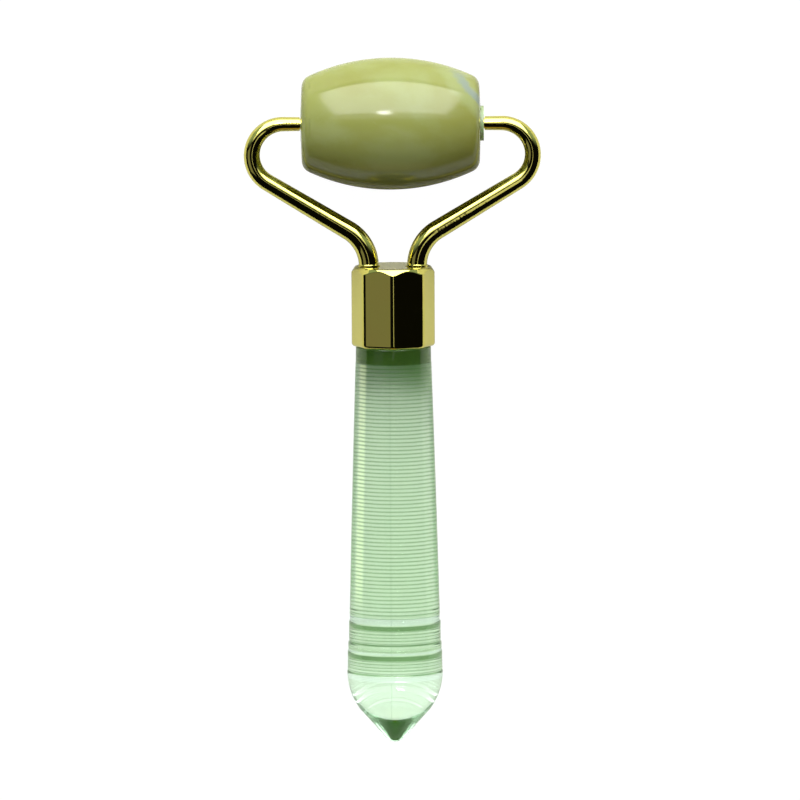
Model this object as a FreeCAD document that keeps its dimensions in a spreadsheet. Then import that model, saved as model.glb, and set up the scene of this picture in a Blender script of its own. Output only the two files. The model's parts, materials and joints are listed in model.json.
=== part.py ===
import FreeCAD, Part
import math
import os

import Sketcher

# A facial massage roller: a crowned stone barrel that turns on two axle pins of a sprung fork, whose
# arms stand in an eight-sided ferrule, with a moulded grip glued in the ferrule's socket.
#
# Every piece is drawn about the middle of the axle: X along the axle, -Y down the grip, Z square to
# both. The rest placement then lays the finished roller on a table, as it lies when it is put down:
# on the barrel's crown and on the grip's widest bead. Lengths are in millimetres, angles in degrees.

DIMENSIONS = {
    # The stone barrel, its bore and the seats for the bush flanges
    "stone_length": 39.5,
    "stone_diameter": 29.0,
    "stone_shift": -0.35,
    "crown_radius": 43.0,
    "end_dome_radius": 165.0,
    "rim_rounding": 2.8,
    "seat_diameter": 8.0,
    "flush_seat_depth": 0.8,
    "proud_seat_depth": 0.1,
    # The bushes
    "sleeve_diameter": 4.8,
    "sleeve_length": 9.0,
    "flange_diameter": 7.7,
    "flange_thickness": 0.8,
    "pin_hole_diameter": 2.5,
    # The fork arms: the axle pin, the bent rod, the brazed collar at its root and the plug below it
    "pin_diameter": 2.4,
    "pin_length": 8.0,
    "pin_chamfer": 0.3,
    "shoulder_reach": 20.3,
    "arm_reach": 30.87,
    "outer_bend_radius": 6.9,
    "diagonal_angle": 31.0,
    "root_offset": 5.3,
    "stub_diameter": 3.05,
    "bend_diameter": 3.55,
    "root_diameter": 4.4,
    "collar_diameter": 5.1,
    "collar_thickness": 0.15,
    "collar_rounding": 0.3,
    "plug_diameter": 3.2,
    "plug_length": 4.0,
    # The ferrule
    "ferrule_top": 31.4,
    "ferrule_foot": 49.1,
    "ferrule_sides": 8,
    "ferrule_width": 18.7,
    "ferrule_edge_rounding": 2.4,
    "ferrule_top_diameter": 16.7,
    "ferrule_chamfer_foot": 33.0,
    "ferrule_arris_rounding": 0.4,
    "ferrule_foot_rounding": 0.8,
    "socket_depth": 12.5,
    # The grip: its diameters, and where they are, counted down from the axle
    "tenon_diameter": 13.0,
    "tenon_top": 37.1,
    "neck_diameter": 16.5,
    "neck_place": 49.1,
    "waist_diameter": 19.95,
    "waist_place": 108.9,
    "widest_diameter": 21.1,
    "widest_place": 121.1,
    "dome_radius": 14.6,
    "cone_diameter": 15.7,
    "cone_place": 129.6,
    "tip_place": 137.05,
    "tip_rounding": 2.5,
    "upper_groove_diameter": 19.6,
    "upper_groove_place": 109.6,
    "lower_groove_diameter": 20.3,
    "lower_groove_place": 116.2,
    "groove_flank": 1.2,
}

ORIGIN = (-1, 1)
ACROSS_AXIS = -1
UPRIGHT_AXIS = -2
START, END, CENTRE = 1, 2, 3
FACING = FreeCAD.Vector(0, 0, 1)
CLOSE = 0.02
ROUGHLY = 0.1
TILT_STEPS = 8

doc = FreeCAD.newDocument("face_roller")
sheet = doc.addObject("Spreadsheet::Sheet", "Sizes")
for row, (alias, value) in enumerate(DIMENSIONS.items(), start=1):
    sheet.set(f"A{row}", alias)
    sheet.set(f"B{row}", str(value))
    sheet.setAlias(f"B{row}", alias)
doc.recompute()


def size(alias):
    """A size as the sheet holds it."""
    return float(getattr(sheet, alias))


def formula(alias, share=1.0):
    return f"Sizes.{alias} * {share}"


def new_body(label):
    body = doc.addObject("PartDesign::Body", label)
    body.Label = label
    return body


def new_sketch(body, name, plane="XY_Plane", lift=None, share=1.0):
    """A sketch on one of the body's own planes, lifted off it by a size of the sheet.

    XY_Plane faces +Z, XZ_Plane faces down the grip (-Y) and YZ_Plane faces +X.
    """
    sketch = body.newObject("Sketcher::SketchObject", name)
    support = next(item for item in body.Origin.OriginFeatures if item.Role == plane)
    sketch.AttachmentSupport = [(support, "")]
    sketch.MapMode = "FlatFace"
    if lift:
        sketch.setExpression("AttachmentOffset.Base.z", formula(lift, share))
    doc.recompute()
    return sketch


def bind(sketch, kind, places, alias, share=1.0):
    """Add a size constraint that follows a share of one cell of the sheet."""
    index = sketch.addConstraint(Sketcher.Constraint(kind, *places, share * size(alias)))
    name = f"{alias}_{index}"
    sketch.renameConstraint(index, name)
    sketch.setExpression(f"Constraints.{name}", formula(alias, share))


def pin_point(sketch, place, across=None, along=None):
    """Set a sketch point's coordinates. Each is (alias, share), or None for a point on that axis."""
    if across:
        bind(sketch, "DistanceX", (*ORIGIN, *place), *across)
    else:
        sketch.addConstraint(Sketcher.Constraint("PointOnObject", *place, UPRIGHT_AXIS))
    if along:
        bind(sketch, "DistanceY", (*ORIGIN, *place), *along)
    else:
        sketch.addConstraint(Sketcher.Constraint("PointOnObject", *place, ACROSS_AXIS))


def place_of(across=None, along=None):
    """The vector that a pair of (alias, share) coordinates stands for."""
    x = across[1] * size(across[0]) if across else 0.0
    y = along[1] * size(along[0]) if along else 0.0
    return FreeCAD.Vector(x, y, 0)


def polygon(sketch, corners):
    """A closed outline of straight lines through corners given as pairs of (alias, share)."""
    points = [place_of(*corner) for corner in corners]
    for start, end in zip(points, points[1:] + points[:1]):
        sketch.addGeometry(Part.LineSegment(start, end))
    for index, corner in enumerate(corners):
        following = (index + 1) % len(corners)
        sketch.addConstraint(Sketcher.Constraint("Coincident", index, END, following, START))
        pin_point(sketch, (index, START), *corner)


def circle(sketch, diameter, across=None):
    """A circle on the sketch's X axis, `across` from its origin."""
    outline = Part.Circle(place_of(across), FACING, size(diameter) / 2)
    index = sketch.addGeometry(outline)
    pin_point(sketch, (index, CENTRE), across)
    bind(sketch, "Diameter", (index,), diameter)


def sketch_arc(sketch, centre, radius, first, last):
    """An arc between two angles, counted from the sketch's X axis towards its Y axis."""
    return sketch.addGeometry(Part.ArcOfCircle(Part.Circle(centre, FACING, radius), first, last))


def feature(body, kind, name, sizes=None, **settings):
    """Add a PartDesign feature, set its properties and bind its sizes to formulas of the sheet."""
    item = body.newObject(f"PartDesign::{kind}", name)
    for key, value in settings.items():
        setattr(item, key, value)
    for key, text in (sizes or {}).items():
        item.setExpression(key, text)
    doc.recompute()
    return item


def revolve(body, kind, name, sketch, axis):
    return feature(body, kind, name, Profile=sketch, ReferenceAxis=(sketch, [axis]), Angle=360.0)


def edges_where(body, test):
    """Names of the edges of the body's tip for which the test is true."""
    edges = body.Tip.Shape.Edges
    return [f"Edge{index}" for index, edge in enumerate(edges, start=1) if test(edge)]


def is_circle_at(edge, radius, centre):
    """True if the edge is a whole circle of that radius about that centre."""
    curve = edge.Curve
    if curve.TypeId != "Part::GeomCircle" or not edge.isClosed():
        return False
    return abs(curve.Radius - radius) < CLOSE and curve.Center.distanceToPoint(centre) < CLOSE


def lies_level(edge, y, width):
    """True if the edge is a ring at that height on the grip's axis, about as wide as that size."""
    box = edge.BoundBox
    level = box.YLength < CLOSE and abs(box.YMax - y) < CLOSE
    return level and abs(box.XLength - size(width)) < ROUGHLY


# ---------------------------------------------------------------------------- the stone and bushes


def build_stone():
    """The barrel: crowned side, slightly domed ends, rounded rims, bore and two bush seats."""
    body = new_body("roller_stone")
    profile = new_sketch(body, "barrel_profile")
    half_length = size("stone_length") / 2
    crown, dome = size("crown_radius"), size("end_dome_radius")
    crown_centre = FreeCAD.Vector(0, size("stone_diameter") / 2 - crown, 0)
    rim_angle = math.asin(half_length / crown)
    bore = size("sleeve_diameter") / 2
    rim_height = crown_centre.y + crown * math.cos(rim_angle)

    quarter = math.pi / 2
    side = sketch_arc(profile, crown_centre, crown, quarter - rim_angle, quarter + rim_angle)
    low, high = math.asin(bore / dome), math.asin(rim_height / dome)
    right = sketch_arc(profile, FreeCAD.Vector(half_length - dome, 0, 0), dome, low, high)
    left = sketch_arc(profile, FreeCAD.Vector(dome - half_length, 0, 0), dome,
                      math.pi - high, math.pi - low)
    wall = profile.addGeometry(Part.LineSegment(FreeCAD.Vector(-half_length, bore, 0),
                                                FreeCAD.Vector(half_length, bore, 0)))
    joins = [(side, START, right, END), (side, END, left, START), (wall, START, left, END),
             (wall, END, right, START)]
    for join in joins:
        profile.addConstraint(Sketcher.Constraint("Coincident", *join))
    profile.addConstraint(Sketcher.Constraint("Horizontal", wall))
    bind(profile, "DistanceY", (*ORIGIN, wall, START), "sleeve_diameter", 0.5)

    top = profile.addGeometry(Part.Point(FreeCAD.Vector(0, size("stone_diameter") / 2, 0)), True)
    pin_point(profile, (top, START), None, ("stone_diameter", 0.5))
    profile.addConstraint(Sketcher.Constraint("PointOnObject", top, START, side))
    profile.addConstraint(Sketcher.Constraint("PointOnObject", side, CENTRE, UPRIGHT_AXIS))
    bind(profile, "Radius", (side,), "crown_radius")
    for end, sense in ((right, 0.5), (left, -0.5)):
        pole = profile.addGeometry(Part.Point(FreeCAD.Vector(2 * sense * half_length, 0, 0)), True)
        pin_point(profile, (pole, START), ("stone_length", sense))
        profile.addConstraint(Sketcher.Constraint("PointOnObject", pole, START, end))
        profile.addConstraint(Sketcher.Constraint("PointOnObject", end, CENTRE, ACROSS_AXIS))
        bind(profile, "Radius", (end,), "end_dome_radius")
    revolve(body, "Revolution", "barrel", profile, "H_Axis")

    outer_rims = edges_where(body, lambda edge: edge.isClosed()
                             and edge.BoundBox.YLength > size("stone_diameter") / 2)
    feature(body, "Fillet", "rims", sizes={"Radius": "Sizes.rim_rounding"}, Base=(body.Tip, outer_rims))
    cut_seat(body, "flush_seat", "flush_seat_depth", -1)
    cut_seat(body, "proud_seat", "proud_seat_depth", 1)
    return body


def cut_seat(body, name, depth, side):
    """A round seat for a bush flange, cut square into one end of the stone."""
    seat = new_sketch(body, f"{name}_outline", "YZ_Plane", "stone_length", side / 2)
    circle(seat, "seat_diameter")
    before = body.Shape.Volume
    feature(body, "Pocket", name, sizes={"Length": formula(depth)}, Profile=seat, Reversed=side < 0)
    if body.Shape.Volume >= before:
        raise RuntimeError(f"{name} cut nothing")


def build_bush(label):
    """A flanged bush: its flange's outer face on the YZ plane, its sleeve towards -X."""
    body = new_body(label)
    section = new_sketch(body, "bush_section")
    bore, sleeve, flange = (("pin_hole_diameter", 0.5), ("sleeve_diameter", 0.5), ("flange_diameter", 0.5))
    polygon(section, [
        (None, bore),
        (None, flange),
        (("flange_thickness", -1), flange),
        (("flange_thickness", -1), sleeve),
        (("sleeve_length", -1), sleeve),
        (("sleeve_length", -1), bore),
    ])
    revolve(body, "Revolution", "bush", section, "H_Axis")
    return body


# ---------------------------------------------------------------------------- the fork arms


def arm_path(body):
    """The arm's centre line: out along the axle, round the outer bend, in and down to the root."""
    path = new_sketch(body, "centre_line")
    bend, slope = size("outer_bend_radius"), math.radians(size("diagonal_angle"))
    bend_centre = FreeCAD.Vector(size("arm_reach") - bend, -bend, 0)
    diagonal_top = bend_centre + FreeCAD.Vector(math.sin(slope), -math.cos(slope), 0) * bend
    root = FreeCAD.Vector(size("root_offset"), -size("ferrule_top"), 0)
    corner_y = diagonal_top.y - (diagonal_top.x - root.x) * math.tan(slope)
    tangent = corner_y - root.y
    root_bend = tangent / math.tan((math.pi / 2 - slope) / 2)
    root_centre = root + FreeCAD.Vector(root_bend, 0, 0)
    diagonal_foot = root_centre + FreeCAD.Vector(-math.sin(slope), math.cos(slope), 0) * root_bend
    quarter = math.pi / 2

    stub = path.addGeometry(Part.LineSegment(FreeCAD.Vector(size("shoulder_reach"), 0, 0),
                                             bend_centre + FreeCAD.Vector(0, bend, 0)))
    outer = sketch_arc(path, bend_centre, bend, slope - quarter, quarter)
    diagonal = path.addGeometry(Part.LineSegment(diagonal_foot, diagonal_top))
    inner = sketch_arc(path, root_centre, root_bend, slope + quarter, math.pi)

    pin_point(path, (stub, START), ("shoulder_reach", 1))
    path.addConstraint(Sketcher.Constraint("Horizontal", stub))
    path.addConstraint(Sketcher.Constraint("Tangent", stub, END, outer, END))
    path.addConstraint(Sketcher.Constraint("Tangent", outer, START, diagonal, END))
    path.addConstraint(Sketcher.Constraint("Tangent", diagonal, START, inner, START))
    bind(path, "Radius", (outer,), "outer_bend_radius")
    outermost = path.addGeometry(Part.Point(bend_centre + FreeCAD.Vector(bend, 0, 0)), True)
    pin_point(path, (outermost, START), ("arm_reach", 1), ("outer_bend_radius", -1))
    path.addConstraint(Sketcher.Constraint("PointOnObject", outermost, START, outer))
    angle = path.addConstraint(Sketcher.Constraint("Angle", diagonal, slope))
    path.renameConstraint(angle, "slope")
    path.setExpression("Constraints.slope", "Sizes.diagonal_angle * 1 deg")
    pin_point(path, (inner, END), ("root_offset", 1), ("ferrule_top", -1))
    bind(path, "DistanceY", (*ORIGIN, inner, CENTRE), "ferrule_top", -1)
    return path


def build_arm(label):
    """The right-hand arm. Turned half round about the grip's axis it is the left-hand one."""
    body = new_body(label)
    path = arm_path(body)
    stub = new_sketch(body, "stub_section", "YZ_Plane", "shoulder_reach")
    circle(stub, "stub_diameter")
    bend = new_sketch(body, "bend_section", "XZ_Plane", "outer_bend_radius")
    circle(bend, "bend_diameter", ("arm_reach", 1))
    root = new_sketch(body, "root_section", "XZ_Plane", "ferrule_top")
    circle(root, "root_diameter", ("root_offset", 1))
    feature(body, "AdditivePipe", "rod", Profile=stub, Spine=(path, []), Sections=[bend, root],
            Transformation="Multisection")

    pin = new_sketch(body, "pin_section", "YZ_Plane", "shoulder_reach")
    circle(pin, "pin_diameter")
    feature(body, "Pad", "axle_pin", sizes={"Length": "Sizes.pin_length"}, Profile=pin, Reversed=True)
    pin_end = FreeCAD.Vector(size("shoulder_reach") - size("pin_length"), 0, 0)
    rim = edges_where(body, lambda edge: is_circle_at(edge, size("pin_diameter") / 2, pin_end))
    feature(body, "Chamfer", "pin_lead", sizes={"Size": "Sizes.pin_chamfer"}, Base=(body.Tip, rim))

    collar = new_sketch(body, "collar_section", "XZ_Plane", "ferrule_top")
    circle(collar, "collar_diameter", ("root_offset", 1))
    feature(body, "Pad", "braze_collar", sizes={"Length": "Sizes.collar_thickness"}, Profile=collar,
            Reversed=True)
    collar_top = size("collar_thickness") - size("ferrule_top")
    foot = edges_where(body, lambda edge: lies_level(edge, collar_top, "root_diameter"))
    feature(body, "Fillet", "braze_fillet", sizes={"Radius": "Sizes.collar_rounding"},
            Base=(body.Tip, foot))
    plug = new_sketch(body, "plug_section", "XZ_Plane", "ferrule_top")
    circle(plug, "plug_diameter", ("root_offset", 1))
    feature(body, "Pad", "plug", sizes={"Length": "Sizes.plug_length"}, Profile=plug)
    return body


# ---------------------------------------------------------------------------- the ferrule


def build_ferrule():
    """Eight-sided collar with an upright edge facing +Z, a turned chamfer, a socket and two holes."""
    body = new_body("ferrule")
    outline = new_sketch(body, "octagon", "XZ_Plane", "ferrule_top")
    radius, sides = size("ferrule_width") / 2, round(size("ferrule_sides"))
    corners = [FreeCAD.Vector(radius * math.cos(turn), radius * math.sin(turn), 0)
               for turn in (2 * math.pi * step / sides for step in range(sides))]
    for index in range(sides):
        outline.addGeometry(Part.LineSegment(corners[index], corners[(index + 1) % sides]))
    rim = outline.addGeometry(Part.Circle(FreeCAD.Vector(), FACING, radius), True)
    outline.addConstraint(Sketcher.Constraint("Coincident", rim, CENTRE, *ORIGIN))
    bind(outline, "Diameter", (rim,), "ferrule_width")
    for index in range(sides):
        following = (index + 1) % sides
        outline.addConstraint(Sketcher.Constraint("Coincident", index, END, following, START))
        outline.addConstraint(Sketcher.Constraint("PointOnObject", index, START, rim))
        if following:
            outline.addConstraint(Sketcher.Constraint("Equal", index, following))
    outline.addConstraint(Sketcher.Constraint("PointOnObject", 0, START, ACROSS_AXIS))
    feature(body, "Pad", "prism", sizes={"Length": "Sizes.ferrule_foot - Sizes.ferrule_top"},
            Profile=outline)

    length = size("ferrule_foot") - size("ferrule_top")
    uprights = edges_where(body, lambda edge: abs(edge.BoundBox.YLength - length) < CLOSE)
    feature(body, "Fillet", "upright_edges", sizes={"Radius": "Sizes.ferrule_edge_rounding"},
            Base=(body.Tip, uprights))

    turn_chamfer(body)
    foot_y = -size("ferrule_foot")
    foot = edges_where(body, lambda edge: edge.BoundBox.YLength < CLOSE
                       and abs(edge.BoundBox.YMin - foot_y) < CLOSE)
    feature(body, "Fillet", "foot_edge", sizes={"Radius": "Sizes.ferrule_foot_rounding"},
            Base=(body.Tip, foot))

    mouth = new_sketch(body, "socket_mouth", "XZ_Plane", "ferrule_foot")
    circle(mouth, "tenon_diameter")
    feature(body, "Pocket", "socket", sizes={"Length": "Sizes.socket_depth"}, Profile=mouth)
    for side in (1, -1):
        name = "right" if side > 0 else "left"
        hole = new_sketch(body, f"{name}_plug_outline", "XZ_Plane", "ferrule_top")
        circle(hole, "plug_diameter", ("root_offset", side))
        before = body.Shape.Volume
        feature(body, "Pocket", f"{name}_plug_hole", sizes={"Length": "Sizes.plug_length"}, Profile=hole,
                Reversed=True)
        if body.Shape.Volume >= before:
            raise RuntimeError(f"{name}_plug_hole cut nothing")
    return body


def turn_chamfer(body):
    """Turn the ferrule's upper corners off to a steep cone and break the arrises round it."""
    section = new_sketch(body, "chamfer_section")
    polygon(section, [
        (("ferrule_top_diameter", 0.5), ("ferrule_top", -1)),
        (("ferrule_width", 0.5), ("ferrule_top", -1)),
        (("ferrule_width", 0.5), ("ferrule_chamfer_foot", -1)),
    ])
    revolve(body, "Groove", "turned_chamfer", section, "V_Axis")
    top_y, foot_y = -size("ferrule_top"), -size("ferrule_chamfer_foot")
    arrises = edges_where(body, lambda edge: edge.BoundBox.YMin > foot_y - ROUGHLY
                          and edge.BoundBox.YLength < top_y - foot_y)
    feature(body, "Fillet", "chamfer_arrises", sizes={"Radius": "Sizes.ferrule_arris_rounding"},
            Base=(body.Tip, arrises))


# ---------------------------------------------------------------------------- the grip


def build_grip():
    """The handle: tenon, tapering shaft, domed end, conical tip and two turned grooves."""
    body = new_body("grip")
    profile = new_sketch(body, "grip_profile")
    corners = [
        (None, ("tenon_top", -1)),
        (("tenon_diameter", 0.5), ("tenon_top", -1)),
        (("tenon_diameter", 0.5), ("neck_place", -1)),
        (("neck_diameter", 0.5), ("neck_place", -1)),
        (("waist_diameter", 0.5), ("waist_place", -1)),
        (("widest_diameter", 0.5), ("widest_place", -1)),
        (("cone_diameter", 0.5), ("cone_place", -1)),
    ]
    points = [place_of(*corner) for corner in corners]
    widest, cone_top = points[-2], points[-1]
    lines = [profile.addGeometry(Part.LineSegment(start, end)) for start, end in zip(points, points[1:-1])]
    for line, corner in zip(lines, corners):
        pin_point(profile, (line, START), *corner)
    for line, following in zip(lines, lines[1:]):
        profile.addConstraint(Sketcher.Constraint("Coincident", line, END, following, START))

    chord = cone_top - widest
    dome_radius, tip_radius = size("dome_radius"), size("tip_rounding")
    inward = FreeCAD.Vector(chord.y, -chord.x, 0).normalize()
    sagitta_side = math.sqrt(dome_radius ** 2 - (chord.Length / 2) ** 2)
    dome_centre = widest + chord * 0.5 + inward * sagitta_side
    dome = sketch_arc(profile, dome_centre, dome_radius,
                      direction(cone_top - dome_centre), direction(widest - dome_centre))
    profile.addConstraint(Sketcher.Constraint("Coincident", lines[-1], END, dome, END))
    pin_point(profile, (dome, END), *corners[-2])
    pin_point(profile, (dome, START), *corners[-1])
    bind(profile, "Radius", (dome,), "dome_radius")

    tip = FreeCAD.Vector(0, -size("tip_place"), 0)
    tip_centre = tip + FreeCAD.Vector(0, tip_radius, 0)
    slope = math.atan2(cone_top.y - tip.y, cone_top.x)
    tangent = tip_centre + FreeCAD.Vector(math.sin(slope), -math.cos(slope), 0) * tip_radius
    cone = profile.addGeometry(Part.LineSegment(cone_top, tangent))
    nose = sketch_arc(profile, tip_centre, tip_radius, -math.pi / 2, slope - math.pi / 2)
    axis = profile.addGeometry(Part.LineSegment(tip, points[0]))
    profile.addConstraint(Sketcher.Constraint("Coincident", dome, START, cone, START))
    profile.addConstraint(Sketcher.Constraint("Tangent", cone, END, nose, END))
    profile.addConstraint(Sketcher.Constraint("PointOnObject", nose, CENTRE, UPRIGHT_AXIS))
    bind(profile, "Radius", (nose,), "tip_rounding")
    pin_point(profile, (nose, START), None, ("tip_place", -1))
    profile.addConstraint(Sketcher.Constraint("Coincident", nose, START, axis, START))
    profile.addConstraint(Sketcher.Constraint("Coincident", axis, END, lines[0], START))
    revolve(body, "Revolution", "turned_grip", profile, "V_Axis")

    for name in ("upper_groove", "lower_groove"):
        turn_groove(body, name)
    return body


def direction(vector):
    """The angle of a vector in its sketch, from the sketch's X axis."""
    return math.atan2(vector.y, vector.x)


def turn_groove(body, name):
    """A V groove round the grip: its floor's diameter and place, and flanks at 45 degrees."""
    section = new_sketch(body, f"{name}_section")
    flank = size("groove_flank")
    floor = FreeCAD.Vector(size(f"{name}_diameter") / 2, -size(f"{name}_place"), 0)
    rims = [floor + FreeCAD.Vector(flank, side * flank, 0) for side in (1, -1)]
    points = [floor, *rims]
    for start, end in zip(points, points[1:] + points[:1]):
        section.addGeometry(Part.LineSegment(start, end))
    for index in range(3):
        section.addConstraint(Sketcher.Constraint("Coincident", index, END, (index + 1) % 3, START))
    pin_point(section, (0, START), (f"{name}_diameter", 0.5), (f"{name}_place", -1))
    for point, sense in ((1, 1), (2, -1)):
        bind(section, "DistanceX", (0, START, point, START), "groove_flank")
        bind(section, "DistanceY", (0, START, point, START), "groove_flank", sense)
    before = body.Shape.Volume
    revolve(body, "Groove", name, section, "V_Axis")
    if body.Shape.Volume >= before:
        raise RuntimeError(f"{name} cut nothing")


# ---------------------------------------------------------------------------- assembly at rest


def rest_placement():
    """Lay the roller on z = 0 with its bounding box centred on the origin in X and Y.

    The barrel's crown touches first; the tilt then brings the grip's dome, just past its widest
    bead, down to the table.
    """
    barrel, reach = size("stone_diameter") / 2, size("widest_place")
    dome = size("dome_radius")
    dome_offset = size("widest_diameter") / 2 - dome
    tilt = 0.0
    for _ in range(TILT_STEPS):
        tilt = math.asin((barrel - dome - dome_offset * math.cos(tilt)) / reach)
    nose = size("tip_rounding")
    lowest_y = -((size("tip_place") - nose) * math.cos(tilt) + nose)
    centre_y = (barrel + lowest_y) / 2
    return FreeCAD.Placement(FreeCAD.Vector(0, -centre_y, barrel),
                             FreeCAD.Rotation(FreeCAD.Vector(1, 0, 0), math.degrees(tilt)))


def moved(x):
    return FreeCAD.Placement(FreeCAD.Vector(x, 0, 0), FreeCAD.Rotation())


HALF_TURN = FreeCAD.Placement(FreeCAD.Vector(), FreeCAD.Rotation(FreeCAD.Vector(0, 1, 0), 180))


def build_all():
    """Make every piece and give it its place; returns the bodies."""
    rest = rest_placement()
    stone = build_stone()
    shift, half_length = size("stone_shift"), size("stone_length") / 2
    stone.Placement = rest.multiply(moved(shift))
    bodies = [stone]
    bush_face = half_length + size("flange_thickness") - size("proud_seat_depth") + shift
    for side, turn, face in (("right", FreeCAD.Placement(), bush_face),
                             ("left", HALF_TURN, shift - half_length)):
        bush = build_bush(f"end_bush_{side}")
        bush.Placement = rest.multiply(moved(face)).multiply(turn)
        arm = build_arm(f"fork_arm_{side}")
        arm.Placement = rest.multiply(turn)
        bodies += [bush, arm]
    for body in (build_ferrule(), build_grip()):
        body.Placement = rest
        bodies.append(body)
    doc.recompute()
    return bodies


def check(bodies):
    """Stop if any object of the document failed or any piece isn't one valid solid."""
    for item in doc.Objects:
        if "Invalid" in item.State or "Error" in item.State:
            raise RuntimeError(f"{item.Label} is {item.State}")
    for body in bodies:
        shape = body.Shape
        if shape.isNull() or not shape.isValid() or len(shape.Solids) != 1:
            raise RuntimeError(f"{body.Label} isn't one valid solid")


def export(bodies):
    os.makedirs("parts", exist_ok=True)
    for body in bodies:
        body.Shape.exportStep(f"parts/{body.Label}.step")
        box = body.Shape.BoundBox
        print(f"{body.Label}: volume {body.Shape.Volume:.1f}, x {box.XMin:.2f} to {box.XMax:.2f}, "
              f"y {box.YMin:.2f} to {box.YMax:.2f}, z {box.ZMin:.2f} to {box.ZMax:.2f}")


pieces = build_all()
check(pieces)
export(pieces)
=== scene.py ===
"""Finish, grip and studio for a facial massage roller.

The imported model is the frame: a stone barrel that turns between the arms of a gold plated fork, an
eight-sided ferrule and a grip. The stone, bushes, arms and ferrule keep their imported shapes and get
their finishes here. The grip is made anew, with the fine ribs of the moulding.
Lengths are in metres in the frame's own axes: +X along the axle, +Y towards the barrel, +Z up.
"""

import json
import math

import bmesh
import bpy
from bpy.props import FloatProperty, FloatVectorProperty, IntProperty, PointerProperty
from mathutils import Matrix, Vector


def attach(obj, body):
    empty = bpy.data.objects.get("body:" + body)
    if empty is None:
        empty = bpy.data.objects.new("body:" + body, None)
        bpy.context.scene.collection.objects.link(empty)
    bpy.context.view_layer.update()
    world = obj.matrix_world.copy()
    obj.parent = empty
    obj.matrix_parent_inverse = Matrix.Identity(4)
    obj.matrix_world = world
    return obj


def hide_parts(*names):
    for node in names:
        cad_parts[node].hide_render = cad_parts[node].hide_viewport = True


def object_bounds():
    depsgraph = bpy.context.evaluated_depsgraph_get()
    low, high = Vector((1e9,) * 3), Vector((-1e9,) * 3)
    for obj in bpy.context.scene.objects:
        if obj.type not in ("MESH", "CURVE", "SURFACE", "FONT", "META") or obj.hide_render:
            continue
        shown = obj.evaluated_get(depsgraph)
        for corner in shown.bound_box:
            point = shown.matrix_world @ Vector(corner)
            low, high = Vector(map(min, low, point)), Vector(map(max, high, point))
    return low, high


bl_info = {
    "name": "Face Roller",
    "version": (1, 0, 0),
    "blender": (4, 5, 0),
    "location": "3D View > Sidebar > Face Roller",
    "description": "Finishes a stone face roller, models its ribbed grip and lights it in a studio",
    "category": "Add Mesh",
}

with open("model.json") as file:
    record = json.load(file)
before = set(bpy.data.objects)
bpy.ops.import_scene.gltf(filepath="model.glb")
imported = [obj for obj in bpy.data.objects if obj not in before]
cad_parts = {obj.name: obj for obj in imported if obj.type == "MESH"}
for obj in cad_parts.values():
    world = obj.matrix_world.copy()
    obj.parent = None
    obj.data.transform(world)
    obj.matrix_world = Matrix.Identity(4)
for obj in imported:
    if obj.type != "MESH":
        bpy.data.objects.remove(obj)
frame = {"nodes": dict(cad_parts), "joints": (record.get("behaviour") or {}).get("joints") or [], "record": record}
CAD_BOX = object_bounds()

MM = 0.001


def grip_axes():
    """Matrix from the grip's own axes to the frame's: origin on the axle, -Y down the grip."""
    axle = Vector(next(joint["pos_m"] for joint in frame["joints"] if joint["name"] == "roller_spin"))
    grip_mount = next(mount for mount in frame["record"]["mounts"] if mount["name"] == "hand_grip")
    across = Vector((1, 0, 0))
    up_grip = -Vector(grip_mount["axis"]).normalized()
    turn = Matrix((across, up_grip, across.cross(up_grip))).transposed()
    return Matrix.Translation(axle) @ turn.to_4x4()


GRIP_AXES = grip_axes()


# ------------------------------------------------------------------ settings that a user would change


def length(name, description, millimetres):
    return FloatProperty(name=name, description=description, default=millimetres * MM, subtype="DISTANCE",
                         unit="LENGTH", precision=5)


def colour(name, description, rgb):
    return FloatVectorProperty(name=name, description=description, default=rgb, size=3, min=0, max=1,
                               subtype="COLOR")


def amount(name, description, value):
    return FloatProperty(name=name, description=description, default=value)


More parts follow.
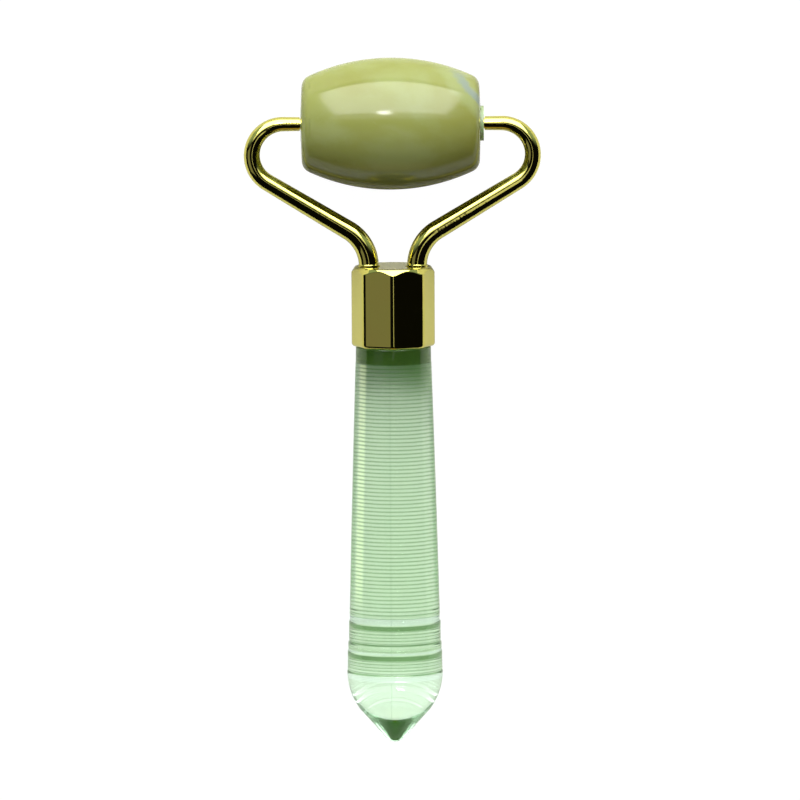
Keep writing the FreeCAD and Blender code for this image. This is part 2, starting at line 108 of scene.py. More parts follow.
class GripSettings(bpy.types.PropertyGroup):
    """Sizes of the grip. A place is counted down the grip from the axle."""

    tenon_radius: length("Tenon radius", "Radius of the tenon in the ferrule's socket", 6.5)
    tenon_top: length("Tenon top", "Place of the tenon's upper end", 37.1)
    neck_radius: length("Neck radius", "Radius where the grip leaves the ferrule", 8.25)
    neck_place: length("Neck place", "Place of the ferrule's foot", 49.1)
    ribs_start: length("Ribs start", "Place where the fine ribs start", 52.6)
    ribs_end: length("Ribs end", "Place where the fine ribs of the shaft end", 108.6)
    waist_radius: length("Waist radius", "Radius at the lower end of the shaft", 9.98)
    swelling: length("Swelling", "How far the shaft bulges in the middle", 0.08)
    rib_pitch: length("Rib pitch", "Distance from rib to rib on the shaft", 0.85)
    bead_rib_pitch: length("Bead rib pitch", "Distance from rib to rib on the two beads", 0.68)
    rib_depth: length("Rib depth", "How deep the furrow between two ribs is", 0.06)
    upper_bead: length("Upper bead", "Place of the groove above the upper bead", 109.7)
    lower_bead: length("Lower bead", "Place of the groove above the lower bead", 116.3)
    widest_radius: length("Widest radius", "Radius where the dome starts", 10.55)
    widest_place: length("Widest place", "Place where the dome starts", 121.1)
    dome_radius: length("Dome radius", "Radius of the dome's own arc", 14.6)
    cone_radius: length("Cone radius", "Radius where the dome meets the conical tip", 7.85)
    cone_place: length("Cone place", "Place where the dome meets the conical tip", 129.6)
    tip_place: length("Tip place", "Place of the tip", 137.05)
    tip_rounding: length("Tip rounding", "Radius of the rounded tip", 2.5)
    seam_offset: length("Seam offset", "How far left of the middle the mould's parting line runs", 0.8)
    steps_round: IntProperty(name="Steps round", description="Faces round the grip", default=112, min=24)
    inside: colour("Inside", "Colour that the plastic lets through", (0.72, 0.95, 0.74))
    absorption: amount("Absorption", "How strongly the plastic absorbs, per metre", 22.0)
    face: colour("Face", "Tint of the smooth surface", (0.88, 0.87, 0.90))
    ribbed: colour("Ribbed", "Tint of the ribbed surface", (1.0, 1.0, 0.95))
    # Painted shade in the furrows between the ribs.
    furrow: colour("Furrow", "Tint in the furrows between the ribs", (0.16, 0.33, 0.12))
    # Painted shade below a bead's groove; the parting line is tinted with it too.
    shade: colour("Shade", "Tint below a bead's groove", (0.11, 0.21, 0.08))
    # Painted shadow of the ferrule over the first ribs.
    painted_ferrule_shadow: colour("Dusk", "Tint where the ribs start, in the ferrule's shade", (0.16, 0.36, 0.08))
    # Painted shade of the ferrule on the neck.
    neck: colour("Neck", "Tint of the neck, darkened by the ferrule", (0.035, 0.085, 0.005))
    # Painted glow: the grip gives out this faint light though it is no lamp.
    glow: colour("Glow", "Light that the plastic scatters out of its depth", (0.006, 0.019, 0.003))
    # Painted glints on the rings by the beads and where the dome starts.
    painted_glint: colour("Glint", "Light thrown by the edges of the beads", (0.10, 0.11, 0.13))
    # Painted highlight along the left of the shaft, given out as emission.
    gather: colour("Gather", "Light that the round shaft gathers along its left side", (0.20, 0.23, 0.10))
    # Painted shade along the shaft's sides.
    rim: colour("Rim", "Tint along the sides, where the view goes through more plastic", (0.22, 0.52, 0.18))


class BarrelSettings(bpy.types.PropertyGroup):
    """Colours of the jade and its bushes, and where the grey streak lies from the barrel's middle."""

    body: colour("Body", "Main colour of the stone", (0.225, 0.24, 0.062))
    cloud: colour("Cloud", "Colour of the milky clouds", (0.27, 0.31, 0.13))
    olive: colour("Olive", "Colour of the deeper patches", (0.18, 0.17, 0.02))
    streak: colour("Streak", "Colour of the grey streak", (0.19, 0.23, 0.20))
    streak_across: length("Streak across", "Place of the streak along the axle", 18.3)
    streak_round: length("Streak round", "Place of the streak up the barrel's side", 5.7)
    bush: colour("Bush", "Colour of the bushes", (0.30, 0.39, 0.19))
    bush_pale: colour("Bush pale", "Paler mottling of the bushes", (0.42, 0.50, 0.28))


class GoldSettings(bpy.types.PropertyGroup):
    """Colours of the plating."""

    plate: colour("Plate", "Colour of the plated metal", (0.65, 0.60, 0.14))
    warm: colour("Warm", "Warmer tone of the plating in patches", (0.67, 0.57, 0.14))


class StageSettings(bpy.types.PropertyGroup):
    """The studio: camera, lamps and floor. A lamp's light is its radiance."""

    camera_distance: length("Camera distance", "Distance from the camera to the roller", 2400)
    camera_tilt: FloatProperty(name="Camera tilt", description="Angle of the view from straight down",
                               default=math.radians(4.8), subtype="ANGLE")
    camera_roll: FloatProperty(name="Camera roll", description="How far the roller leans in the view",
                               default=math.radians(0.3), subtype="ANGLE")
    view_width: length("View width", "Width of the view at the roller", 176)
    view_across: length("View across", "How far right of the roller's middle the view is centred", 1.4)
    view_along: length("View along", "How far towards the barrel the view is centred", 0.33)
    softbox: amount("Softbox", "Light of the large softbox beyond the barrel", 5.1)
    spot: amount("Spot", "Light of the small lamp in front of the softbox", 26.0)
    upper: amount("Upper", "Light of the panel between the softbox and the camera", 1.2)
    card: amount("Card", "Light of the dim card on the left", 0.25)
    slot: amount("Slot", "Light of the narrow slot beside the camera", 0.9)
    wall: colour("Wall", "Light of the pale wall beyond the softbox", (0.3825, 0.495, 0.54))
    low_light: colour("Low light", "Warm light along the table from the grip's end", (0.5, 0.36, 0.1))
    ceiling: colour("Ceiling", "Light of the dark ceiling", (0.004, 0.004, 0.003))
    board: colour("Board", "Colour of the board on the floor", (0.63, 0.62, 0.57))
    fibre: colour("Fibre", "Colour of the board's fibres", (0.70, 0.69, 0.64))


# ------------------------------------------------------------------ shader nodes


class Wire:
    """A node's output in a formula. An operator on it adds the Math node that works it out."""

    def __init__(self, tree, output):
        self.tree = tree
        self.output = output

    def math(self, operation, first, second=0.0):
        return add_node(self.tree, "ShaderNodeMath", {"operation": operation}, {0: first, 1: second})

    def __add__(self, other):
        return self.math("ADD", self, other)

    __radd__ = __add__

    def __sub__(self, other):
        return self.math("SUBTRACT", self, other)

    def __rsub__(self, other):
        return self.math("SUBTRACT", other, self)

    def __mul__(self, other):
        return self.math("MULTIPLY", self, other)

    __rmul__ = __mul__

    def __truediv__(self, other):
        return self.math("DIVIDE", self, other)

    def __pow__(self, other):
        return self.math("POWER", self, other)

    def __abs__(self):
        return self.math("ABSOLUTE", self)

    def sine(self):
        return self.math("SINE", self)


def add_node(tree, kind, settings=None, values=None, output=0):
    """Add a node, set its properties, then its sockets, and return one of its outputs as a Wire."""
    node = tree.nodes.new(kind)
    for key, value in (settings or {}).items():
        setattr(node, key, value)
    for key, value in (values or {}).items():
        if isinstance(value, Wire):
            tree.links.new(value.output, node.inputs[key])
        else:
            node.inputs[key].default_value = value
    return Wire(tree, node.outputs[output])


def rgba(rgb):
    return (*rgb, 1.0)


def new_material(name):
    material = bpy.data.materials.new(name)
    material.use_nodes = True
    material.node_tree.nodes.clear()
    return material, material.node_tree


def set_surface(tree, shader, volume=None):
    output = tree.nodes.new("ShaderNodeOutputMaterial")
    tree.links.new(shader.output, output.inputs["Surface"])
    if volume:
        tree.links.new(volume.output, output.inputs["Volume"])


def object_position(tree, stretch=(1, 1, 1), turn=(0, 0, 0)):
    """The point's place in the frame, turned and stretched for a pattern."""
    where = add_node(tree, "ShaderNodeTexCoord", output="Object")
    return add_node(tree, "ShaderNodeMapping", values={"Vector": where, "Rotation": turn, "Scale": stretch})


def noise(tree, where, scale, detail=3.0, roughness=0.5, distortion=0.0):
    return add_node(tree, "ShaderNodeTexNoise", values={
        "Vector": where, "Scale": scale, "Detail": detail, "Roughness": roughness,
        "Distortion": distortion})


def ramp(tree, amount_wire, low, high):
    """0 below low, 1 above high and smooth between."""
    settings = {"interpolation_type": "SMOOTHSTEP", "clamp": True}
    return add_node(tree, "ShaderNodeMapRange", settings, {"Value": amount_wire, "From Min": low,
                                                            "From Max": high})


def band(tree, place, middle, half_width, softness):
    """1 within half_width of the middle, 0 a softness further out."""
    return 1 - ramp(tree, abs(place - middle), half_width, half_width + softness)


def from_point(tree, point):
    """The vector from a fixed point of the frame to the shaded point."""
    where = add_node(tree, "ShaderNodeTexCoord", output="Object")
    return add_node(tree, "ShaderNodeVectorMath", {"operation": "SUBTRACT"}, {0: where, 1: point})


def total(wires):
    return sum(wires[1:], wires[0])


def along(vector, direction):
    """How far a vector goes in a direction."""
    settings = {"operation": "DOT_PRODUCT"}
    return add_node(vector.tree, "ShaderNodeVectorMath", settings, {0: vector, 1: direction},
                    output="Value")


def mix_colour(tree, share, first, second):
    values = {0: share, 6: first if isinstance(first, Wire) else rgba(first),
              7: second if isinstance(second, Wire) else rgba(second)}
    return add_node(tree, "ShaderNodeMix", {"data_type": "RGBA"}, values, output=2)


def layered(tree, ground, layers):
    """A ground colour under layers of (share, colour), from the lowest to the topmost."""
    for share, layer in layers:
        ground = mix_colour(tree, share, ground, layer)
    return ground


def bump(tree, height, distance, strength):
    return add_node(tree, "ShaderNodeBump", values={"Height": height, "Distance": distance,
                                                    "Strength": strength})


def mix_shader(tree, share, first, second):
    return add_node(tree, "ShaderNodeMixShader", values={0: share, 1: first, 2: second})


# ------------------------------------------------------------------ materials


def jade_material(barrel):
    """Polished jade: olive ground, milky clouds, deeper patches and one grey streak near a rim."""
    material, tree = new_material("jade")
    where = object_position(tree)
    layers_of_stone = object_position(tree, stretch=(1.0, 2.4, 1.6))
    clouds = ramp(tree, noise(tree, where, 60.0, detail=5.0, roughness=0.6, distortion=0.4), 0.44, 0.66)
    patches = ramp(tree, noise(tree, layers_of_stone, 42.0, detail=4.0, roughness=0.55, distortion=0.8),
                   0.48, 0.7)
    specks = ramp(tree, noise(tree, where, 700.0, roughness=0.65), 0.66, 0.76)
    across = along(from_point(tree, GRIP_AXES.translation), Vector((1, 0, 0)))
    halo, core = streak_masks(tree, barrel)
    tone = layered(tree, barrel.body, [
        (clouds * 0.4, barrel.cloud),
        (patches * 0.35, barrel.olive),
        (specks * 0.25, barrel.cloud),
        # Darker towards the barrel's right end.
        (ramp(tree, across, 4 * MM, 22 * MM) * 0.5, barrel.olive),
        (halo * 0.6, barrel.cloud),
        (core * 0.85, barrel.streak),
    ])
    grain = noise(tree, where, 1400.0, detail=2.0)
    stone = {
        "Base Color": tone,
        "Roughness": 0.10 + grain * 0.07,
        "IOR": 1.5,
        "Subsurface Weight": 0.3,
        "Subsurface Radius": (4 * MM, 5 * MM, 2 * MM),
        "Subsurface Scale": 1.0,
        "Normal": bump(tree, noise(tree, where, 260.0, detail=2.0), distance=0.02 * MM, strength=0.25),
    }
    glossy = add_node(tree, "ShaderNodeBsdfPrincipled", values={**stone, "Specular IOR Level": 0.46})
    dull = add_node(tree, "ShaderNodeBsdfPrincipled", values={**stone, "Specular IOR Level": 0.04})
    facing = add_node(tree, "ShaderNodeLayerWeight", values={"Blend": 0.5}, output="Facing")
    set_surface(tree, mix_shader(tree, ramp(tree, facing, 0.3, 0.65) * 0.6, glossy, dull))
    return material


def streak_masks(tree, barrel):
    """Masks of the pale halo and the grey core of the slanting streak at the barrel's right end."""
    middle = GRIP_AXES.translation + Vector((barrel.streak_across, barrel.streak_round, 6 * MM))
    square_to_streak = Vector((0.76, 0.65, 0.0))
    offset = from_point(tree, middle)
    wobble = noise(tree, object_position(tree), 240.0, roughness=0.6) - 0.5
    distance = along(offset, square_to_streak) + wobble * (3 * MM)
    reach = add_node(tree, "ShaderNodeVectorMath", {"operation": "LENGTH"}, {0: offset}, output="Value")
    halo = band(tree, distance, -0.4 * MM, 1.2 * MM, 1.8 * MM) * (1 - ramp(tree, reach, 7 * MM, 15 * MM))
    core = band(tree, distance, 0.3 * MM, 0.3 * MM, 1.0 * MM) * (1 - ramp(tree, reach, 4 * MM, 10 * MM))
    return halo, core


def bush_material(barrel):
    """Milky green plastic of the bushes, with a fine moulded grain."""
    material, tree = new_material("bush_plastic")
    mottle = noise(tree, object_position(tree), 500.0)
    set_surface(tree, add_node(tree, "ShaderNodeBsdfPrincipled", values={
        "Base Color": mix_colour(tree, mottle, barrel.bush, barrel.bush_pale),
        "Roughness": 0.22 + mottle * 0.1,
        "Subsurface Weight": 0.4,
        "Subsurface Radius": (1 * MM, 2 * MM, 1 * MM),
        "Subsurface Scale": 1.0,
        "Normal": bump(tree, mottle, distance=0.01 * MM, strength=0.4),
    }))
    return material


def gold_material(gold):
    """Mirror bright plating with faint polishing waves, warmer patches and a breath of wear."""
    material, tree = new_material("gold_plate")
    where = object_position(tree)
    patches = ramp(tree, noise(tree, where, 90.0, detail=2.0), 0.35, 0.7)
    haze = ramp(tree, noise(tree, where, 420.0, detail=4.0, roughness=0.6), 0.45, 0.8)
    waves = noise(tree, where, 220.0, detail=1.0)
    set_surface(tree, add_node(tree, "ShaderNodeBsdfPrincipled", values={
        "Base Color": mix_colour(tree, patches * 0.5, gold.plate, gold.warm),
        "Metallic": 1.0,
        "Roughness": 0.05 + haze * 0.06,
        "Normal": bump(tree, waves, distance=0.03 * MM, strength=0.4),
    }))
    return material


class GripPoint:
    """Where the shaded point of the grip lies, as Wires.

    place counts down the grip from the axle, across is the distance from the middle, and side is that
    distance as a share of the shaft's radius. inward is 1 for a ray on its way in, above is 1 on the
    upper half, and on_shaft is 1 above the beads.
    """

    def __init__(self, tree, sizes):
        offset = from_point(tree, GRIP_AXES.translation)
        across, up_grip, out = (GRIP_AXES.col[axis].to_3d() for axis in range(3))
        taper = (sizes.waist_radius - sizes.neck_radius) / (sizes.ribs_end - sizes.neck_place)
        self.tree = tree
        self.place = along(offset, -up_grip)
        self.across = along(offset, across)
        self.side = self.across / ((self.place - sizes.neck_place) * taper + sizes.neck_radius)
        self.inward = 1 - add_node(tree, "ShaderNodeNewGeometry", output="Backfacing")
        self.above = ramp(tree, along(offset, out), 0.0, 4 * MM)
        self.on_shaft = 1 - ramp(tree, self.place, sizes.ribs_end - 8 * MM, sizes.ribs_end)


def furrows(point, run):
    """1 in the furrows of a ribbed run, 0 on its ribs and beyond it."""
    start, end, pitch = run
    pitch = (end - start) / rib_count(start, end, pitch)
    land = abs(((point.place - start) * (math.pi / pitch)).sine()) ** RIB_FULLNESS
    return (1 - land) * band(point.tree, point.place, (start + end) / 2, (end - start) / 2, 0.1 * MM)


def painted_glint_rings(point, sizes):
    """1 on the rings of painted glints: by each bead's groove, and where the dome starts."""
    tree, place = point.tree, point.place
    return total([
        band(tree, place, sizes.upper_bead - 0.45 * MM, 0.55 * MM, 0.2 * MM),
        band(tree, place, sizes.lower_bead, 0.15 * MM, 0.15 * MM),
        band(tree, place, sizes.widest_place + 0.9 * MM, 0.3 * MM, 0.4 * MM),
    ])


def painted_shade_rings(point, sizes):
    """1 on the rings of painted shade: the land below each groove, and the fine groove that closes each bead."""
    beads = (sizes.upper_bead, sizes.lower_bead)
    lands = [band(point.tree, point.place, bead + 1.0 * MM, 0.4 * MM, 0.25 * MM) for bead in beads]
    closings = [band(point.tree, point.place, bead + CLOSING_GROOVE, 0.1 * MM, 0.2 * MM) for bead in beads]
    return total(lands + closings)


def grip_tint(tree, sizes):
    """Tint and glow of the grip: face, ribs, beads, parting line, painted shade on furrows, rings, rim and neck,
    and painted glow.

    Only rays on their way in are tinted, so the marks of the far side don't show through.
    """
    point = GripPoint(tree, sizes)
    place, start = point.place, sizes.ribs_start
    # Painted glints on rings; the ribbed tint is left off there.
    bright = painted_glint_rings(point, sizes)
    # Mask of the painted shade in the furrows.
    marks = total([furrows(point, run) for run in rib_runs(sizes)])
    worked = 1 - ramp(tree, place, sizes.widest_place - 0.1 * MM, sizes.widest_place + 0.2 * MM)
    seam = band(tree, point.across, -sizes.seam_offset, 0.04 * MM, 0.06 * MM)
    # Mask of the painted shade along the shaft's sides.
    rim = ramp(tree, abs(point.side), 0.86, 0.96) * point.on_shaft
    # Painted shadow of the ferrule over the first ribs, reaching further down on the right side.
    painted_ferrule_shadow = 1 - ramp(tree, place - point.side * (4 * MM), start - 2 * MM, start + 7.5 * MM)
    # Painted shade of the ferrule over the smooth neck.
    neck = 1 - ramp(tree, place, start - 0.2 * MM, start + 0.2 * MM)
    layers = [
        (worked * (1 - bright), sizes.ribbed),
        # Painted shade in the furrows between the ribs.
        (marks, sizes.furrow),
        # Painted shade on the rings below the beads' grooves.
        (painted_shade_rings(point, sizes), sizes.shade),
        (seam * 0.35, sizes.shade),
        # Painted shade along the shaft's sides.
        (rim * 0.75, sizes.rim),
        # Painted shadow of the ferrule over the first ribs.
        (painted_ferrule_shadow * 0.9, sizes.painted_ferrule_shadow),
        # Painted shade of the ferrule on the neck.
        (neck, sizes.neck),
    ]
    tint = layered(tree, sizes.face, [(share * point.inward, layer) for share, layer in layers])
    # Painted highlight along the left of the shaft's upper half.
    painted_side_highlight = band(tree, point.side, -0.8, 0.04, 0.08) * point.on_shaft * point.above
    painted_side_highlight = painted_side_highlight * (1 - neck) * (1 - marks)
    # Painted glow, with painted glints on the rings and the painted highlight along the left side.
    glow = layered(tree, sizes.glow, [
        (bright * point.inward, sizes.painted_glint),
        (painted_side_highlight * point.inward, sizes.gather),
    ])
    return tint, glow


def clear_green_material(sizes):
    """Clear green moulded plastic. Lamp rays pass straight through, so what lies behind is lit."""
    material, tree = new_material("clear_green")
    smear = ramp(tree, noise(tree, object_position(tree), 160.0), 0.5, 0.8)
    tint, glow = grip_tint(tree, sizes)
    plastic = add_node(tree, "ShaderNodeBsdfPrincipled", values={
        "Base Color": tint,
        "Roughness": 0.015 + smear * 0.02,
        "IOR": 1.49,
        "Transmission Weight": 1.0,
        # Painted glow, glints and side highlight, given out as emission.
        "Emission Color": glow,
        "Emission Strength": 1.0,
    })
    clear = add_node(tree, "ShaderNodeBsdfTransparent", values={"Color": rgba((0.85, 0.89, 0.85))})
    is_lamp_ray = add_node(tree, "ShaderNodeLightPath", output="Is Shadow Ray")
    inside = add_node(tree, "ShaderNodeVolumeAbsorption", values={
        "Color": rgba(sizes.inside), "Density": sizes.absorption})
    set_surface(tree, mix_shader(tree, is_lamp_ray, plastic, clear), inside)
    return material


def floor_material(stage):
    """Pale matt board with a barely visible fibre, nearly white for whoever looks straight at it."""
    material, tree = new_material("pale_floor")
    fibre = noise(tree, object_position(tree), 700.0)
    board = add_node(tree, "ShaderNodeBsdfPrincipled", values={
        "Base Color": mix_colour(tree, fibre, stage.board, stage.fibre),
        "Roughness": 0.8,
        "Normal": bump(tree, fibre, distance=0.02 * MM, strength=0.2),
    })
    glow = add_node(tree, "ShaderNodeEmission", values={"Color": rgba((1, 1, 1)), "Strength": 1.05})
    looks = add_node(tree, "ShaderNodeLightPath", output="Is Camera Ray")
    set_surface(tree, mix_shader(tree, looks * 0.95, board, glow))
    return material


# ------------------------------------------------------------------ the grip's mesh


RIB_FULLNESS = 0.9
POINTS_PER_RIB = 6

# Along each bead, counted down from the groove above it
GROOVE_FLANK = 0.4 * MM
BEAD_LAND_END = 1.5 * MM
BEAD_RIBS = (1.6 * MM, 4.4 * MM)
CLOSING_GROOVE = 4.75 * MM
BEAD_END = 5.1 * MM

# Radii of each bead: in its groove, on its plain land and where its ribs end
UPPER_BEAD_RADII = (9.87 * MM, 10.11 * MM, 10.13 * MM)
LOWER_BEAD_RADII = (10.24 * MM, 10.44 * MM, 10.50 * MM)

# Radii between the beads: below the upper one and above the lower one's groove
BETWEEN_RADII = (10.30 * MM, 10.31 * MM)


def rib_count(start, end, pitch):
    return max(1, round((end - start) / pitch))


def rib_runs(sizes):
    """Start, end and pitch of each ribbed run: the shaft's and the two beads'."""
    first, last = BEAD_RIBS
    shaft = (sizes.ribs_start, sizes.ribs_end, sizes.rib_pitch)
    beads = (sizes.upper_bead, sizes.lower_bead)
    return [shaft, *((bead + first, bead + last, sizes.bead_rib_pitch) for bead in beads)]


def ribbed_run(run, radius_at, depth):
    """Outline points of a ribbed run: a rounded land for each rib, a furrow between two."""
    start, end, pitch = run
    ribs = rib_count(start, end, pitch)
    steps = ribs * POINTS_PER_RIB
    points = []
    for step in range(steps + 1):
        share = step / steps
        place = start + (end - start) * share
        land = abs(math.sin(math.pi * ribs * share)) ** RIB_FULLNESS
        points.append((radius_at(place) - depth * (1 - land), place))
    return points


def arc_points(centre, radius, first, last, steps):
    """Points of an arc in the outline's plane, as (distance from the axis, place down the grip)."""
    return [(centre[0] + radius * math.cos(angle), centre[1] + radius * math.sin(angle))
            for angle in (first + (last - first) * step / steps for step in range(steps + 1))]


def shaft_radius(sizes, place):
    """Radius of the shaft at a place: a straight taper with a slight swelling."""
    share = (place - sizes.neck_place) / (sizes.ribs_end - sizes.neck_place)
    taper = sizes.neck_radius + (sizes.waist_radius - sizes.neck_radius) * share
    return taper + 4 * sizes.swelling * share * (1 - share)


def bead_outline(run, groove, radii, depth):
    """A bead: the groove above it, its plain land, its ribs and the fine groove that closes it."""
    floor, land, last = radii
    start, end, _ = run
    points = [(floor, groove), (land, groove + GROOVE_FLANK), (land, groove + BEAD_LAND_END)]
    points += ribbed_run(run, lambda place: land + (last - land) * (place - start) / (end - start), depth)
    return points + [(last - 0.07 * MM, groove + CLOSING_GROOVE)]


def tenon_outline(sizes):
    """The tenon, the shoulder under the ferrule's foot and the neck, with small broken edges."""
    edge = 0.3 * MM
    top, foot = sizes.tenon_top, sizes.neck_place + 0.02 * MM
    return [
        (0.0, top),
        (sizes.tenon_radius - edge, top),
        (sizes.tenon_radius, top + edge),
        (sizes.tenon_radius, foot),
        (sizes.neck_radius - edge / 2, foot),
        (sizes.neck_radius, foot + edge / 2),
        (shaft_radius(sizes, foot + edge), foot + edge),
    ]


def grip_outline(sizes):
    """The grip's half section from the tenon's top to the tip, as (radius, place) pairs."""
    shaft, upper, lower = rib_runs(sizes)
    below_upper, above_lower = BETWEEN_RADII
    outline = tenon_outline(sizes)
    outline += ribbed_run(shaft, lambda place: shaft_radius(sizes, place), sizes.rib_depth)
    outline += [(sizes.waist_radius - 0.04 * MM, sizes.ribs_end + GROOVE_FLANK)]
    outline += bead_outline(upper, sizes.upper_bead, UPPER_BEAD_RADII, sizes.rib_depth)
    outline += [
        (below_upper, sizes.upper_bead + BEAD_END),
        (above_lower, sizes.lower_bead - GROOVE_FLANK),
    ]
    outline += bead_outline(lower, sizes.lower_bead, LOWER_BEAD_RADII, sizes.rib_depth)
    return outline + end_outline(sizes)


def end_outline(sizes):
    """The smooth dome, the conical tip and its rounded point."""
    widest = Vector((sizes.widest_radius, sizes.widest_place))
    cone = Vector((sizes.cone_radius, sizes.cone_place))
    chord = cone - widest
    inward = Vector((-chord.y, chord.x)).normalized()
    reach = math.sqrt(sizes.dome_radius ** 2 - (chord.length / 2) ** 2)
    centre = (widest + cone) / 2 + inward * reach
    first, last = (math.atan2(*(point - centre).yx) for point in (widest, cone))
    points = arc_points(centre, sizes.dome_radius, first, last, 20)
    nose = Vector((0.0, sizes.tip_place - sizes.tip_rounding))
    rise = cone - nose
    nose_start = math.atan2(rise.y, rise.x) + math.acos(sizes.tip_rounding / rise.length)
    points += arc_points(nose, sizes.tip_rounding, nose_start, math.pi / 2, 10)
    return points


def turned_mesh(name, outline, steps):
    """Turn an outline of (radius, place) about the grip's axis and bring it into the frame."""
    mesh_maker = bmesh.new()
    verts = [mesh_maker.verts.new((radius, -place, 0.0)) for radius, place in outline]
    edges = [mesh_maker.edges.new(pair) for pair in zip(verts, verts[1:])]
    bmesh.ops.spin(mesh_maker, geom=verts + edges, cent=(0, 0, 0), axis=(0, 1, 0), angle=2 * math.pi,
                   steps=steps, use_merge=True, use_duplicate=False)
    bmesh.ops.remove_doubles(mesh_maker, verts=mesh_maker.verts[:], dist=0.000002)
    bmesh.ops.recalc_face_normals(mesh_maker, faces=mesh_maker.faces[:])
    for face in mesh_maker.faces:
        face.smooth = True
    bmesh.ops.transform(mesh_maker, matrix=GRIP_AXES, verts=mesh_maker.verts[:])
    mesh = bpy.data.meshes.new(name)
    mesh_maker.to_mesh(mesh)
    mesh_maker.free()
    return mesh


def link_object(name, data):
    item = bpy.data.objects.new(name, data)
    bpy.context.scene.collection.objects.link(item)
    return item


def make_lamp(name, radiance, extent, place):
    """A flat rectangular lamp at a place, facing the roller, as bright as the radiance asks."""
    data = bpy.data.lights.new(name, "AREA")
    data.shape = "RECTANGLE"
    data.size, data.size_y = extent
    data.energy = radiance * math.pi * extent[0] * extent[1]
    lamp = link_object(name, data)
    lamp.location = place
    lamp.rotation_euler = Vector(place).to_track_quat("Z", "Y").to_euler()


def finish_nodes(material, *names):
    """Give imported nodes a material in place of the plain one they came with."""
    for name in names:
        for slot in frame["nodes"][name].material_slots:
            slot.material = material


# ------------------------------------------------------------------ operators


LAMPS = (
    # name, width and height, place
    ("softbox", (1.7, 1.3), (0.0, 0.958, 0.722)),
    ("spot", (0.11, 0.09), (-0.06, 0.42, 0.88)),
    ("upper", (1.7, 0.2), (0.0, 0.4, 1.13)),
    ("card", (0.6, 0.6), (-0.77, -0.15, 0.77)),
    ("slot", (0.09, 0.7), (0.13, -0.2, 1.47)),
)

# From the middle of the floor to its edge
FLOOR_REACH = 2.0

# The camera's sensor, in millimetres
SENSOR_WIDTH = 36.0


class FACEROLLER_OT_stage(bpy.types.Operator):
    """Make the floor, the lamps, the surrounding light and the camera"""

    bl_idname = "face_roller.stage"
    bl_label = "Stage"

    def execute(self, context):
        stage = context.scene.face_roller_stage
        self.make_floor(stage)
        self.make_world(context.scene, stage)
        self.make_camera(context.scene, stage)
        for name, extent, place in LAMPS:
            make_lamp(name, getattr(stage, name), extent, place)
        return {"FINISHED"}

    def make_floor(self, stage):
        maker = bmesh.new()
        bmesh.ops.create_grid(maker, x_segments=1, y_segments=1, size=FLOOR_REACH)
        mesh = bpy.data.meshes.new("floor")
        maker.to_mesh(mesh)
        maker.free()
        mesh.materials.append(floor_material(stage))
        link_object("floor", mesh)

    def make_world(self, scene, stage):
        """A pale wall beyond the barrel, warm light low behind the grip and a dark ceiling."""
        world = bpy.data.worlds.new("studio")
        world.use_nodes = True
        scene.world = world
        tree = world.node_tree
        tree.nodes.clear()
        direction = add_node(tree, "ShaderNodeTexCoord", output="Generated")
        beyond = along(direction, Vector((0, 1, 0)))
        before = along(direction, Vector((0, -1, 0)))
        tone = layered(tree, stage.ceiling, [
            (ramp(tree, before, 0.88, 0.99), stage.low_light),
            (ramp(tree, beyond, 0.1, 0.45), stage.wall),
        ])
        background = add_node(tree, "ShaderNodeBackground", values={"Color": tone, "Strength": 1.0})
        output = tree.nodes.new("ShaderNodeOutputWorld")
        tree.links.new(background.output, output.inputs["Surface"])

    def make_camera(self, scene, stage):
        """The camera looks at the roller's middle, tilted from straight down towards the barrel."""
        data = bpy.data.cameras.new("camera")
        data.sensor_width = SENSOR_WIDTH
        data.lens = SENSOR_WIDTH * stage.camera_distance / stage.view_width
        data.clip_start, data.clip_end = 0.05, 20.0
        low, high = CAD_BOX
        target = (low + high) / 2 + Vector((stage.view_across, stage.view_along, 0))
        back = Vector((0, math.sin(stage.camera_tilt), math.cos(stage.camera_tilt)))
        up = Vector((0, math.cos(stage.camera_tilt), -math.sin(stage.camera_tilt)))
        upright = Matrix((up.cross(back), up, back)).transposed()
        turn = upright @ Matrix.Rotation(-stage.camera_roll, 3, "Z")
        camera = link_object("camera", data)
        camera.matrix_world = Matrix.Translation(target + back * stage.camera_distance) @ turn.to_4x4()
        scene.camera = camera
        scene.view_settings.view_transform = "Standard"


class FACEROLLER_OT_barrel(bpy.types.Operator):
    """Finish the stone barrel"""

    bl_idname = "face_roller.barrel"
    bl_label = "Barrel"

    def execute(self, context):
        finish_nodes(jade_material(context.scene.face_roller_barrel), "roller_stone")
        return {"FINISHED"}


class FACEROLLER_OT_bushes(bpy.types.Operator):
    """Finish the bushes at the barrel's ends"""

    bl_idname = "face_roller.bushes"
    bl_label = "Bushes"

    def execute(self, context):
        finish_nodes(bush_material(context.scene.face_roller_barrel), "end_bush_left", "end_bush_right")
        return {"FINISHED"}


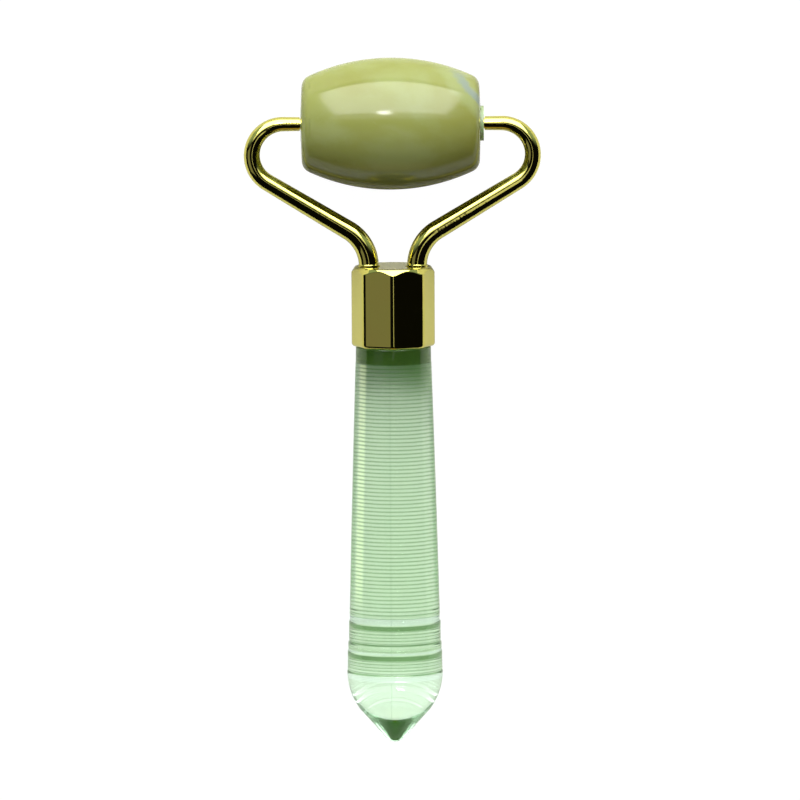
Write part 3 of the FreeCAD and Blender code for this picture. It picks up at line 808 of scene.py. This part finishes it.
class FACEROLLER_OT_plating(bpy.types.Operator):
    """Finish the gold plated arms and ferrule"""

    bl_idname = "face_roller.plating"
    bl_label = "Gold plating"

    def execute(self, context):
        gold = gold_material(context.scene.face_roller_gold)
        finish_nodes(gold, "fork_arm_left", "fork_arm_right", "ferrule")
        return {"FINISHED"}


class FACEROLLER_OT_grip(bpy.types.Operator):
    """Model the clear green grip with its ribs, beads, dome and tip"""

    bl_idname = "face_roller.grip"
    bl_label = "Grip"

    def execute(self, context):
        sizes = context.scene.face_roller_grip
        mesh = turned_mesh("grip_ribbed", grip_outline(sizes), sizes.steps_round)
        mesh.materials.append(clear_green_material(sizes))
        grip = link_object("grip_ribbed", mesh)
        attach(grip, "frame")
        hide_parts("grip")
        return {"FINISHED"}


class FACEROLLER_PT_panel(bpy.types.Panel):
    """The steps of making the roller, in order"""

    bl_idname = "FACEROLLER_PT_panel"
    bl_label = "Face Roller"
    bl_space_type = "VIEW_3D"
    bl_region_type = "UI"
    bl_category = "Face Roller"

    def draw(self, context):
        for operator in OPERATORS:
            self.layout.operator(operator.bl_idname)


SETTINGS = {
    "face_roller_grip": GripSettings,
    "face_roller_barrel": BarrelSettings,
    "face_roller_gold": GoldSettings,
    "face_roller_stage": StageSettings,
}
OPERATORS = (
    FACEROLLER_OT_stage,
    FACEROLLER_OT_barrel,
    FACEROLLER_OT_bushes,
    FACEROLLER_OT_plating,
    FACEROLLER_OT_grip,
)
CLASSES = (*SETTINGS.values(), *OPERATORS, FACEROLLER_PT_panel)


def register():
    for item in CLASSES:
        bpy.utils.register_class(item)
    for name, group in SETTINGS.items():
        setattr(bpy.types.Scene, name, PointerProperty(type=group))


def unregister():
    for name in SETTINGS:
        delattr(bpy.types.Scene, name)
    for item in reversed(CLASSES):
        bpy.utils.unregister_class(item)


def main():
    register()
    bpy.ops.face_roller.stage()
    bpy.ops.face_roller.barrel()
    bpy.ops.face_roller.bushes()
    bpy.ops.face_roller.plating()
    bpy.ops.face_roller.grip()


if __name__ == "__main__":
    main()
